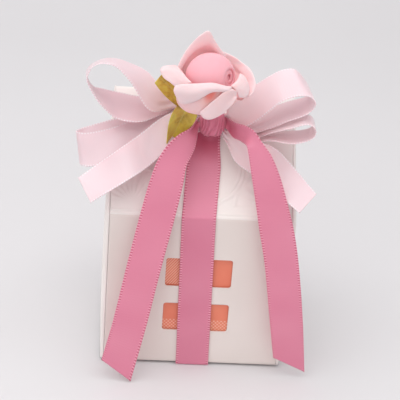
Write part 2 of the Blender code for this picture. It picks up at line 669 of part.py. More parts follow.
def make_bud():
    """The rolled bud: a core and one spiral turn of foam, open at the upper right."""
    core_radius = BUD_RADIUS - 2 * (FOAM + FOAM_GAP)
    flatness = BUD_HEIGHT / BUD_RADIUS
    mesh = bmesh.new()
    bmesh.ops.create_uvsphere(mesh, u_segments=20, v_segments=12, radius=core_radius)
    for vert in mesh.verts:
        vert.co = (ROSE_CENTRE + ROSE_RIGHT * vert.co.x + ROSE_BACK * vert.co.y
                   + ROSE_AXIS * vert.co.z * flatness)
    finish(mesh, "rose_bud", "bud_foam")
    opening = Matrix.Rotation(WRAP_TILT, 3, "Y")

    def surface(u, v):
        around = WRAP_START + WRAP_TURN * u
        polar = WRAP_MOUTH + (WRAP_HEM - WRAP_MOUTH) * v
        climb = min(max((around - WRAP_START - WRAP_LAP) / WRAP_LAP / 2, 0.0), 1.0)
        radius = BUD_RADIUS - FOAM / 2 - (FOAM + FOAM_GAP) * (1 - climb)
        place = opening @ Vector((math.sin(polar) * math.cos(around),
                                  math.sin(polar) * math.sin(around), math.cos(polar))) * radius
        return (ROSE_CENTRE + ROSE_RIGHT * place.x + ROSE_BACK * place.y
                + ROSE_AXIS * place.z * flatness)

    sheet("bud_petal", "bud_foam", surface, 26, 8, FOAM)


def make_calyx():
    """The turned cup under the petals, with a peg between their roots up to the bud."""
    mesh = bmesh.new()
    sides = 16
    profile = [(CALYX_PEG, -BUD_HEIGHT - GAP), (CALYX_PEG, CALYX_SEAT),
               (CALYX_RADIUS, CALYX_SEAT), (CALYX_WAIST, CALYX_SEAT - CALYX_CUP),
               (CALYX_FOOT, CALYX_SEAT - CALYX_DEPTH)]
    rings = []
    for radius, height in profile:
        rings.append([mesh.verts.new(rose_point(step * 360 / sides, radius, height))
                      for step in range(sides)])
    for lower, upper in zip(rings[1:], rings):
        for i in range(sides):
            mesh.faces.new((lower[i - 1], lower[i], upper[i], upper[i - 1]))
    mesh.faces.new(rings[0])
    mesh.faces.new(reversed(rings[-1]))
    bmesh.ops.recalc_face_normals(mesh, faces=mesh.faces)
    finish(mesh, "rose_calyx", "stem")


def make_stem():
    """The short wire stem from the calyx down to the knot."""
    top = rose_point(0, 0, CALYX_SEAT - CALYX_DEPTH - GAP)
    seat = KNOT_CENTRE.lerp(top, STEM_END)
    curve = bpy.data.curves.new("rose_stem", "CURVE")
    curve.dimensions = "3D"
    curve.bevel_depth = STEM_RADIUS
    curve.bevel_resolution = 2
    curve.use_fill_caps = True
    spline = curve.splines.new("POLY")
    spline.points.add(1)
    for point, place in zip(spline.points, (top, seat)):
        point.co = (*place, 1)
    stem = bpy.data.objects.new("rose_stem", curve)
    curve.materials.append(MATERIALS["stem"])
    PARTS.objects.link(stem)
    weld = stem.modifiers.new("caps", "WELD")
    weld.merge_threshold = WELD


def leaf(name, root, tip, width, base_phase, tip_phase):
    """A creased leaf between two places given in mm from the knot's middle.

    Its outline is the stretch of a half wave between the two phases.
    """
    start = KNOT_CENTRE + Vector(root) * MM
    end = KNOT_CENTRE + Vector(tip) * MM
    run = (end - start).normalized()
    across = run.cross(LEAF_BACK).normalized()
    lift = across.cross(run)

    def surface(u, v):
        phase = math.pi * (base_phase + (tip_phase - base_phase) * v)
        half = width / 2 * MM * math.sin(phase) ** LEAF_FULLNESS
        crease = LEAF_CREASE * width * MM * (1 - abs(2 * u - 1))
        return start.lerp(end, v) + across * half * (2 * u - 1) + lift * crease

    sheet(name, "leaf", surface, 4, 8, LEAF)


clear_scene()
PARTS = make_collection("house_favour_box")
CUTTERS = make_collection("cutters", hidden=True)
MATERIALS = {name: make_material(name) for name in COLOURS}
make_sleeve()
make_liner()
make_seam_flap()
for end in (-1, 1):
    make_end_panel(end)
    make_tongue(end)
    make_floor_flap(end)
    for slope in (-1, 1):
        make_roof_flap(end, slope)
make_wrap()
make_knot()
make_bow()
make_rose()
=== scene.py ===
import math

import bmesh
import bpy
import numpy as np
from mathutils import Matrix, Vector, noise


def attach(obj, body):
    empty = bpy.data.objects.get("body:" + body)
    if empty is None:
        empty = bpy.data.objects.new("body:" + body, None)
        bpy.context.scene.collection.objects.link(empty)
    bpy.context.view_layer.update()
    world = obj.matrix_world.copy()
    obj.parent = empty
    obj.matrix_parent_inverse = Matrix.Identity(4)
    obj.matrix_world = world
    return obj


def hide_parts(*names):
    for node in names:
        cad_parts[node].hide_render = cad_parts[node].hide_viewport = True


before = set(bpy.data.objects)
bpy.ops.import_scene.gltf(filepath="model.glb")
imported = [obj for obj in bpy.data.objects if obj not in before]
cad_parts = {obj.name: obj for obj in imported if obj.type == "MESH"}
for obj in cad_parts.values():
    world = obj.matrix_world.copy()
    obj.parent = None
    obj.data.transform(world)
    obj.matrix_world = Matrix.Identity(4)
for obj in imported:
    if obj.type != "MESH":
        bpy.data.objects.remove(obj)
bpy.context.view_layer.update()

MM = 0.001

# Camera, from the photograph's viewing angle
LENS_MM = 108.0
PITCH = 0.437
YAW = 0.0753
ROLL = 0.0799
CAMERA_PLACE = Vector((-30.105, -415.499, 249.566)) * MM

# House, as in the part
HALF_WIDTH = 32.5 * MM
HALF_DEPTH = 30.0 * MM
RIDGE_RISE = 38.0 * MM
CARD = 0.5 * MM
GAP = 0.3 * MM
BASE_Z = 0.7 * MM
EAVE_Z = BASE_Z + 61.0 * MM
RIDGE_Z = EAVE_Z + RIDGE_RISE
SLOPE_LENGTH = math.hypot(HALF_DEPTH, RIDGE_RISE)
SLOPE_UP = Vector((0, HALF_DEPTH, RIDGE_RISE)) / SLOPE_LENGTH
SLOPE_OUT = Vector((0, -RIDGE_RISE, HALF_DEPTH)) / SLOPE_LENGTH
WINDOW_WIDTH = 24.4 * MM
WINDOW_HEIGHT = 11.6 * MM
WINDOW_SHIFT = 0.7 * MM
WINDOW_SILLS = (14.2 * MM, 32.9 * MM)

# Ribbon and knot
RIBBON_WIDTH = 12.2 * MM
RIBBON = 0.3 * MM
KNOT_SIZE = Vector((9.6, 9.6, 8.6)) * MM
KNOT_RISE = 2.6 * MM
KNOT_SEAT = 1.0 * MM
KNOT_FOOT = Vector((2.4 * MM, 0, RIDGE_Z)) - SLOPE_UP * 16.8 * MM
KNOT_CENTRE = KNOT_FOOT + SLOPE_OUT * (KNOT_SEAT + KNOT_SIZE.z / 2)
KNOT_CORE = KNOT_CENTRE + SLOPE_UP * KNOT_RISE
ANCHORS = {
    "eave": Vector((0, -HALF_DEPTH, EAVE_Z)),
    "floor": Vector((0, -HALF_DEPTH, 0)),
}
# Share of its width that a ribbon keeps where it is gathered
GATHER = 0.36
# Pitch of the picots, and of the rows of a strip
PICOT = 1.0 * MM
ROW = 0.333 * MM

# Rose
ROSE_TILT = math.radians(22.0)
ROSE_AXIS = Vector((0, -math.sin(ROSE_TILT), math.cos(ROSE_TILT)))
ROSE_BACK = Vector((0, math.cos(ROSE_TILT), math.sin(ROSE_TILT)))
ROSE_RIGHT = Vector((1, 0, 0))
ROSE_CENTRE = KNOT_CENTRE + Vector((-2.6, -9.5, 23.4)) * MM
BUD_RADIUS = 8.9 * MM
BUD_HEIGHT = 8.3 * MM
FOAM = 0.8 * MM
FOAM_GAP = 0.4 * MM
ROOT_HEIGHT = -8.2 * MM


# Shaders

def srgb(red, green, blue):
    """A colour given as 0 to 255 in sRGB, as linear RGBA."""
    def linear(value):
        value /= 255
        return value / 12.92 if value <= 0.04045 else ((value + 0.055) / 1.055) ** 2.4
    return (linear(red), linear(green), linear(blue), 1.0)


class Shader:
    """A Principled material and short ways to add nodes to it."""

    def __init__(self, name, **inputs):
        self.material = bpy.data.materials.new(name)
        self.material.use_nodes = True
        self.tree = self.material.node_tree
        self.main = self.tree.nodes["Principled BSDF"]
        for label, value in inputs.items():
            self.main.inputs[label.replace("_", " ")].default_value = value

    def put(self, kind, inputs=(), **settings):
        """Adds a node. inputs maps an input's name or index to a value or a socket."""
        node = self.tree.nodes.new("ShaderNode" + kind)
        for label, value in settings.items():
            setattr(node, label, value)
        for key, value in dict(inputs).items():
            if isinstance(value, bpy.types.NodeSocket):
                self.tree.links.new(value, node.inputs[key])
            else:
                node.inputs[key].default_value = value
        return node

    def maths(self, operation, *values, clamp=False):
        return self.put("Math", dict(enumerate(values)), operation=operation,
                        use_clamp=clamp).outputs[0]

    def times(self, first, second):
        return self.maths("MULTIPLY", first, second)

    def above(self, value, edge):
        return self.maths("GREATER_THAN", value, edge)

    def below(self, value, edge):
        return self.maths("LESS_THAN", value, edge)

    def wave(self, value, beat):
        """A sine of value, with beat as its radians for each unit of value."""
        return self.maths("SINE", self.times(value, beat))

    def off_middle(self, value, middle):
        return self.maths("ABSOLUTE", self.maths("SUBTRACT", value, middle))

    def span(self, value, low, high, start=0.0, end=1.0, **settings):
        """start to end while value goes from low to high, and held beyond them."""
        return self.put("MapRange", {0: value, 1: low, 2: high, 3: start, 4: end},
                        **settings).outputs[0]

    def place(self):
        return self.put("TexCoord").outputs["Object"]

    def split(self, vector):
        return self.put("SeparateXYZ", {0: vector}).outputs

    def flat(self):
        """Across and along: mm on a ribbon, shares on a petal or a leaf."""
        across, along, _ = self.split(self.put("UVMap", uv_map="Flat").outputs[0])
        return across, along

    def joined(self, x, y, z=0.0):
        return self.put("CombineXYZ", {0: x, 1: y, 2: z}).outputs[0]

    def clouds(self, vector, scale, detail=3.0, rough=0.5):
        return self.put("TexNoise", {"Vector": vector, "Scale": scale, "Detail": detail,
                                     "Roughness": rough}).outputs["Fac"]

    def ramp(self, factor, *stops):
        node = self.put("ValToRGB", {0: factor})
        points = node.color_ramp.elements
        while len(points) < len(stops):
            points.new(0.5)
        for point, (position, colour) in zip(points, stops):
            point.position = position
            point.color = colour
        return node.outputs[0]

    def mixed(self, factor, first, second, blend="MIX"):
        return self.put("Mix", {0: factor, 6: first, 7: second}, data_type="RGBA",
                        blend_type=blend).outputs[2]

    def colour(self, socket):
        self.tree.links.new(socket, self.main.inputs["Base Color"])

    def rough(self, socket, low, high):
        self.tree.links.new(self.span(socket, 0.0, 1.0, low, high),
                            self.main.inputs["Roughness"])

    def bump(self, *layers):
        """layers are (height socket, strength, distance in mm), the coarsest first."""
        normal = None
        for height, strength, distance in layers:
            inputs = {"Height": height, "Strength": strength, "Distance": distance * MM}
            if normal:
                inputs["Normal"] = normal
            normal = self.put("Bump", inputs).outputs[0]
        self.tree.links.new(normal, self.main.inputs["Normal"])


def card_material():
    """White card. The sleeve's walls below the eaves carry a very little painted shade, greyer
    than the roof.
    """
    shader = Shader("white_card", Roughness=0.5, IOR=1.45, Coat_Weight=0.12,
                    Coat_Roughness=0.35)
    place = shader.place()
    fibres = shader.clouds(place, scale=900, detail=4, rough=0.65)
    drift = shader.clouds(place, scale=28, detail=2)
    x, _, z = shader.split(place)
    # Painted shade: the sleeve's walls below the eaves, between the ends, are multiplied a little
    # greyer than the roof
    between_ends = shader.below(shader.maths("ABSOLUTE", x), HALF_WIDTH + GAP)
    painted_wall_shade = shader.times(shader.below(z, EAVE_Z), between_ends)
    white = shader.ramp(drift, (0.3, srgb(241, 234, 230)), (0.7, srgb(248, 242, 239)))
    shader.colour(shader.mixed(painted_wall_shade, white, srgb(244, 239, 237), blend="MULTIPLY"))
    shader.rough(fibres, 0.42, 0.58)
    shader.bump((drift, 0.10, 1.0), (fibres, 0.22, 0.06))
    return shader.material


def liner_material():
    """Coated orange paper, hatched at the upper window's left and dotted at the lower's foot."""
    hatch_lean, hatch_beat = 0.8, 6.4
    hatch_right, hatch_foot = -4.0, 34.0
    dot_beat = 4.6
    dots_foot, dots_top = 14.4, 19.2
    ink_strength = 0.6
    shader = Shader("orange_liner", Roughness=0.4, IOR=1.45, Coat_Weight=0.2,
                    Coat_Roughness=0.25)
    place = shader.place()
    x, _, z = shader.split(place)
    x, z = shader.times(x, 1 / MM), shader.times(z, 1 / MM)
    slant = shader.maths("SUBTRACT", x, shader.times(z, hatch_lean))
    lines = shader.above(shader.wave(slant, hatch_beat), 0.1)
    hatched = shader.times(shader.below(x, hatch_right), shader.above(z, hatch_foot))
    dots = shader.times(shader.wave(x, dot_beat), shader.wave(z, dot_beat))
    dots = shader.above(dots, 0.12)
    dotted = shader.times(shader.below(z, dots_top), shader.above(z, dots_foot))
    ink = shader.maths("ADD", shader.times(lines, hatched), shader.times(dots, dotted),
                       clamp=True)
    wash = shader.clouds(place, scale=60)
    ground = shader.ramp(wash, (0.3, srgb(234, 124, 98)), (0.7, srgb(242, 142, 112)))
    shader.colour(shader.mixed(shader.times(ink, ink_strength), ground,
                               srgb(253, 206, 182)))
    shader.rough(wash, 0.34, 0.48)
    shader.bump((ink, 0.25, 0.05))
    return shader.material


def satin_material(name, deep, light, edge_dark, edge_light, hem, glow, knot_light_and_shade, reach):
    """Woven satin: fine slanting floats and a dull selvedge stitched at an even pitch.

    hem is the selvedge's width in mm and glow the share of light that sinks in. tint is a colour
    painted within reach mm of the knot: painted shade on the deep satin, and a lighter painted
    tone on the pale satin that lifts its shade there.
    """
    knot_edge, knot_clear, knot_paint_start, knot_paint_strength = 5.6 * MM, 7.5 * MM, 8.0 * MM, 0.75
    shader = Shader(name, Roughness=0.36, IOR=1.5, Sheen_Weight=0.35, Sheen_Roughness=0.4,
                    Anisotropic=0.45, Subsurface_Weight=glow, Subsurface_Scale=0.003,
                    Subsurface_Radius=(1.0, 0.7, 0.7))
    across, along = shader.flat()
    floats = shader.put("TexWave", {
        "Vector": shader.joined(across, shader.times(along, 1.3)),
        "Scale": 1.7, "Distortion": 0.6, "Detail": 2.0, "Detail Scale": 3.0},
        wave_type="BANDS", bands_direction="DIAGONAL").outputs["Fac"]
    threads = shader.clouds(shader.joined(shader.times(across, 9.0),
                                          shader.times(along, 0.7)), scale=1)
    drift = shader.clouds(shader.joined(shader.times(across, 0.5), along), scale=0.05,
                          detail=1)
    body = shader.ramp(drift, (0.25, deep), (0.75, light))
    body = shader.mixed(shader.times(floats, 0.12), body, deep)
    body = shader.mixed(shader.times(threads, 0.16), body, light)
    # Painted shade near the knot: the deep satin darkens there, and the pale satin is painted
    # lighter to lift its shade
    distance = shader.put("VectorMath", {0: shader.place(), 1: tuple(KNOT_CORE)},
                          operation="DISTANCE").outputs["Value"]
    knot_light_and_shade_mask = shader.span(distance, knot_paint_start, reach * MM, knot_paint_strength, 0.0,
                          interpolation_type="SMOOTHSTEP")
    knot_light_and_shade_mask = shader.times(shader.span(distance, knot_edge, knot_clear), knot_light_and_shade_mask)
    body = shader.mixed(knot_light_and_shade_mask, body, knot_light_and_shade)
    half = RIBBON_WIDTH / MM / 2
    inset = shader.maths("SUBTRACT", half, shader.off_middle(across, half))
    stitch = shader.above(shader.wave(along, math.tau / (PICOT / MM)), 0.05)
    lip = shader.mixed(stitch, edge_dark, edge_light)
    shader.colour(shader.mixed(shader.times(shader.below(inset, hem), 0.8), body, lip))
    shader.rough(threads, 0.30, 0.46)
    shader.bump((stitch, 0.25, 0.08), (floats, 0.16, 0.05), (threads, 0.2, 0.06))
    return shader.material


def foam_material(name, root, deep, middle, rim):
    """Fine matt foam, whiter towards a petal's rim, deeper towards its root."""
    shader = Shader(name, Roughness=0.75, IOR=1.4, Subsurface_Weight=0.35,
                    Subsurface_Scale=0.003, Subsurface_Radius=(1.0, 0.45, 0.4),
                    Sheen_Weight=0.12, Sheen_Roughness=0.5)
    _, along = shader.flat()
    place = shader.place()
    grain = shader.clouds(place, scale=2600, rough=0.7)
    drift = shader.clouds(place, scale=160)
    uneven = shader.times(shader.maths("SUBTRACT", drift, 0.5), 0.25)
    share = shader.maths("ADD", along, uneven)
    shader.colour(shader.ramp(share, (0.0, root), (0.3, deep), (0.62, middle), (0.97, rim)))
    shader.rough(grain, 0.68, 0.84)
    shader.bump((drift, 0.25, 0.5), (grain, 0.3, 0.08))
    return shader.material


def leaf_material():
    """Waxed cloth, blotched brown and green, with pale veins and a greener lower leaf."""
    green_top, green_foot, green_share = 99 * MM, 87 * MM, 0.65
    rib_width, vein_lean, vein_beat = 0.035, 0.55, 44.0
    shader = Shader("waxed_leaf", Roughness=0.5, IOR=1.45, Sheen_Weight=0.2,
                    Coat_Weight=0.15, Coat_Roughness=0.4)
    across, along = shader.flat()
    place = shader.place()
    blotch = shader.clouds(place, scale=260, detail=4, rough=0.6)
    weave = shader.clouds(place, scale=3200, detail=2)
    ground = shader.ramp(blotch, (0.30, srgb(158, 122, 36)), (0.46, srgb(200, 164, 62)),
                         (0.58, srgb(212, 190, 76)), (0.74, srgb(180, 172, 72)))
    low = shader.span(shader.split(place)[2], green_top, green_foot, 0.0, green_share)
    ground = shader.mixed(low, ground, srgb(214, 208, 70))
    middle = shader.off_middle(across, 0.5)
    slant = shader.maths("SUBTRACT", along, shader.times(middle, vein_lean))
    side = shader.above(shader.wave(slant, vein_beat), 0.9)
    veins = shader.maths("ADD", shader.below(middle, rib_width), shader.times(side, 0.6),
                         clamp=True)
    shader.colour(shader.mixed(shader.times(veins, 0.35), ground, srgb(206, 196, 118)))
    shader.rough(blotch, 0.42, 0.62)
    shader.bump((veins, 0.35, 0.15), (blotch, 0.2, 0.3), (weave, 0.25, 0.06))
    return shader.material


def stem_material():
    """Green paper wound round a wire."""
    shader = Shader("wrapped_stem", Roughness=0.7)
    place = shader.place()
    turns = shader.put("TexWave", {"Vector": place, "Scale": 420.0, "Distortion": 1.2},
                       bands_direction="Z").outputs["Fac"]
    patch = shader.clouds(place, scale=500)
    shader.colour(shader.ramp(patch, (0.3, srgb(108, 112, 62)), (0.7, srgb(146, 146, 84))))
    shader.rough(patch, 0.6, 0.8)
    shader.bump((turns, 0.4, 0.1))
    return shader.material


def stage_material():
    """Plain pale paper under the box."""
    shader = Shader("pale_paper", Roughness=0.85)
    place = shader.place()
    drift = shader.clouds(place, scale=3, detail=2)
    grain = shader.clouds(place, scale=700, detail=2)
    shader.colour(shader.ramp(drift, (0.3, srgb(214, 212, 214)), (0.7, srgb(217, 215, 217))))
    shader.rough(grain, 0.8, 0.9)
    return shader.material


# Meshes

def placed(name, data):
    """Adds an object to the scene."""
    item = bpy.data.objects.new(name, data)
    bpy.context.scene.collection.objects.link(item)
    return item


def set_down(name, body):
    """Turns a finished bmesh into an object in the scene."""
    mesh = bpy.data.meshes.new(name)
    body.to_mesh(mesh)
    body.free()
    return placed(name, mesh)


def laid_out(body, flat):
    """Smooths a bmesh and gives its corners the flat coordinates that flat(place) says."""
    layer = body.loops.layers.uv.new("Flat")
    for face in body.faces:
        face.smooth = True
        for loop in face.loops:
            loop[layer].uv = flat(loop.vert.co)


def normals(grid, ring=False):
    """Unit normals of a grid of points, rows by columns by 3."""
    if ring:
        along = np.roll(grid, -1, 0) - np.roll(grid, 1, 0)
    else:
        along = np.gradient(grid, axis=0)
    normal = np.cross(np.gradient(grid, axis=1), along)
    return normal / np.maximum(np.linalg.norm(normal, axis=2, keepdims=True), 1e-12)


def solid_sheet(name, grid, half, across, along, ring=False):
    """A closed thick sheet about a grid of points.

    half is the half thickness, and across and along are the flat coordinates. Each may be
    one number, a row, a column or a whole grid. ring joins the last row to the first.
    """
    shape = grid.shape[:2]
    count = shape[0] * shape[1]
    offset = normals(grid, ring) * np.broadcast_to(half, shape)[..., None]
    points = np.concatenate([(grid + offset).reshape(-1, 3), (grid - offset).reshape(-1, 3)])
    top = np.arange(count).reshape(shape)
    if ring:
        top = np.concatenate([top, top[:1]])
    under = top + count
    faces = []

    def skin(first, second, flip=False):
        quads = np.stack([first[..., :-1], first[..., 1:], second[..., 1:],
                          second[..., :-1]], -1).reshape(-1, 4)
        faces.append(quads[:, ::-1] if flip else quads)

    skin(top[:-1], top[1:])
    skin(under[:-1], under[1:], flip=True)
    skin(top[:, 0], under[:, 0])
    skin(top[:, -1], under[:, -1], flip=True)
    if not ring:
        skin(top[0], under[0], flip=True)
        skin(top[-1], under[-1])
    mesh = bpy.data.meshes.new(name)
    mesh.from_pydata(points.tolist(), [], np.concatenate(faces).tolist())
    flat = np.stack([np.broadcast_to(across, shape), np.broadcast_to(along, shape)], -1)
    flat = np.concatenate([flat.reshape(-1, 2)] * 2)
    corners = np.empty(len(mesh.loops), dtype=np.int32)
    mesh.loops.foreach_get("vertex_index", corners)
    layer = mesh.uv_layers.new(name="Flat")
    layer.uv.foreach_set("vector", flat[corners].astype(np.float32).ravel())
    mesh.shade_smooth()
    mesh.validate()
    recalculate(mesh)
    return placed(name, mesh)


def swept(surface, columns, rows):
    """A grid of places surface(u, v), its values of u in a row and of v in a column."""
    grid = np.array([[surface(i / columns, j / rows) for i in range(columns + 1)]
                     for j in range(rows + 1)])
    return grid, np.linspace(0, 1, columns + 1), np.linspace(0, 1, rows + 1)[:, None]


def recalculate(mesh):
    """Turns every face outwards."""
    body = bmesh.new()
    body.from_mesh(mesh)
    bmesh.ops.recalc_face_normals(body, faces=body.faces)
    body.to_mesh(mesh)
    body.free()


def dress(piece, material, node, body="house"):
    """Gives a piece its material and its body, and hides the CAD node that it stands for."""
    piece.data.materials.append(material)
    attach(piece, body)
    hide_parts(node)


def smooth_path(points, t):
    """The point at t, from 0 to 1, on a smooth curve through evenly counted points."""
    spans = len(points) - 1
    place = min(max(t, 0.0), 1.0) * spans
    i = min(int(place), spans - 1)
    s = place - i
    before = points[i - 1] if i > 0 else 2 * points[0] - points[1]
    after = points[i + 2] if i + 2 <= spans else 2 * points[-1] - points[-2]
    start, end = points[i], points[i + 1]
    return 0.5 * (2 * start + (end - before) * s
                  + (2 * before - 5 * start + 4 * end - after) * s * s
                  + (3 * start - before - 3 * end + after) * s ** 3)


def measured(points):
    """How far along the line through the points each of them lies."""
    lengths = [0.0]
    for a, b in zip(points, points[1:]):
        lengths.append(lengths[-1] + (b - a).length)
    return lengths


def rounded(share):
    """The height of a quarter circle at a share of its way in, and 1 beyond it."""
    return np.sqrt(1 - (1 - np.clip(share, 0, 1)) ** 2)


# Satin ribbon

COLUMNS = [0.0, 0.012, 0.035, 0.055, 0.10, 0.17, 0.25, 0.33, 0.415, 0.5]
COLUMNS += [1 - u for u in reversed(COLUMNS[:-1])]


def satin_strip(name, near, far, ring=False, pleats=2.5, pleat_phase=0.0):
    """A strip of satin between two edges, each a function of t from 0 to 1.

    Where the edges come closer than the ribbon's width the strip falls into pleats. Both
    edges carry picots and a raised hem. Returns the piece and its length.
    """
    samples, pleat_depth, picot_reach = 400, 0.75 * MM, 0.10 * MM
    ts = [i / samples for i in range(samples + 1)]
    lengths = measured([(near(t) + far(t)) / 2 for t in ts])
    total = lengths[-1]
    picots = round(total / PICOT)
    rows = 3 * picots if ring else max(int(total / ROW), 8)
    wanted = np.linspace(0, total, rows + 1)
    if ring:
        wanted = wanted[:-1]
    rows_t = np.interp(wanted, lengths, ts)
    near_edge = np.array([near(t) for t in rows_t])
    far_edge = np.array([far(t) for t in rows_t])
    u = np.array(COLUMNS)
    grid = near_edge[:, None] * (1 - u)[:, None] + far_edge[:, None] * u[:, None]
    widths = np.linalg.norm(far_edge - near_edge, axis=1)
    slack = np.clip(1 - widths / RIBBON_WIDTH, 0, 0.7)
    depth = slack[:, None] ** 0.9 * pleat_depth
    wave = np.sin(math.tau * pleats * u + pleat_phase) * depth * (1 - (2 * u - 1) ** 6)
    grid = grid + normals(grid) * wave[..., None]
    beat = 0.5 + 0.5 * np.cos(math.tau * wanted / (total / picots))
    outward = (far_edge - near_edge) / np.maximum(widths, 1e-9)[:, None]
    picot = outward * (picot_reach * beat)[:, None]
    grid[:, 0] -= picot
    grid[:, -1] += picot
    # A thin edge, with the raised hem in the two columns beside it
    half = np.full(grid.shape[:2], RIBBON / 2)
    hem = 0.8 + 0.45 * beat
    for column, share in enumerate((0.2, 0.66 * hem, 0.62 * hem)):
        half[:, column] = half[:, -1 - column] = RIBBON * share
    piece = solid_sheet(name, grid, half, u * RIBBON_WIDTH / MM,
                        (wanted * picots * PICOT / total / MM)[:, None], ring)
    return piece, total


def knot_side(side, layer, shift):
    """The middle of a ribbon's gathered end beside the knot, relative to the knot's middle."""
    clear, first_layer, layer_step = 0.42 * MM, 2.4, 0.9
    rise = (first_layer + layer * layer_step) * MM - KNOT_SEAT - KNOT_SIZE.z / 2
    reach = side * (KNOT_SIZE.x / 2 + clear)
    return Vector((reach, 0, 0)) + SLOPE_UP * shift + SLOPE_OUT * rise


def edge_vector(lean, turn, share):
    """From one selvedge to the other: lean is its angle above level, turn is off the Y axis."""
    lean, turn = math.radians(lean), math.radians(turn)
    level = math.cos(lean)
    return RIBBON_WIDTH * share * Vector((level * math.sin(turn), level * math.cos(turn),
                                          math.sin(lean)))


def ribbon(name, stations, start, end=None, flipped=False, **more):
    """A satin strip from the knot through stations, and back to it where end is given.

    A station is (x, y, z, lean, turn, share of full width), with the place in mm from the
    knot's middle, or from the anchor named before it, and the angles in degrees. start and
    end are (side, layer, shift up the roof in mm).
    """
    gather = (-SLOPE_UP if flipped else SLOPE_UP) * RIBBON_WIDTH * GATHER

    def knot_end(side, layer, shift):
        root = knot_side(side, layer, shift * MM)
        inner = Vector((root.x * 0.45, root.y * 0.6, root.z * 0.6)) + SLOPE_UP * KNOT_RISE
        return [(KNOT_CENTRE + inner, gather * 0.6), (KNOT_CENTRE + root, gather)]

    course = knot_end(*start)
    for *anchor, x, y, z, lean, turn, share in stations:
        origin = ANCHORS[anchor[0]] if anchor else KNOT_CENTRE
        course.append((origin + Vector((x, y, z)) * MM, edge_vector(lean, turn, share)))
    if end:
        course += reversed(knot_end(*end))
    near = [middle - width / 2 for middle, width in course]
    far = [middle + width / 2 for middle, width in course]
    piece, length = satin_strip("satin_" + name, lambda t: smooth_path(near, t),
                                lambda t: smooth_path(far, t), **more)
    if name in ("left_tail", "right_tail"):
        dress(piece, DEEP_SATIN, name)
    else:
        dress(piece, PALE_SATIN, name)


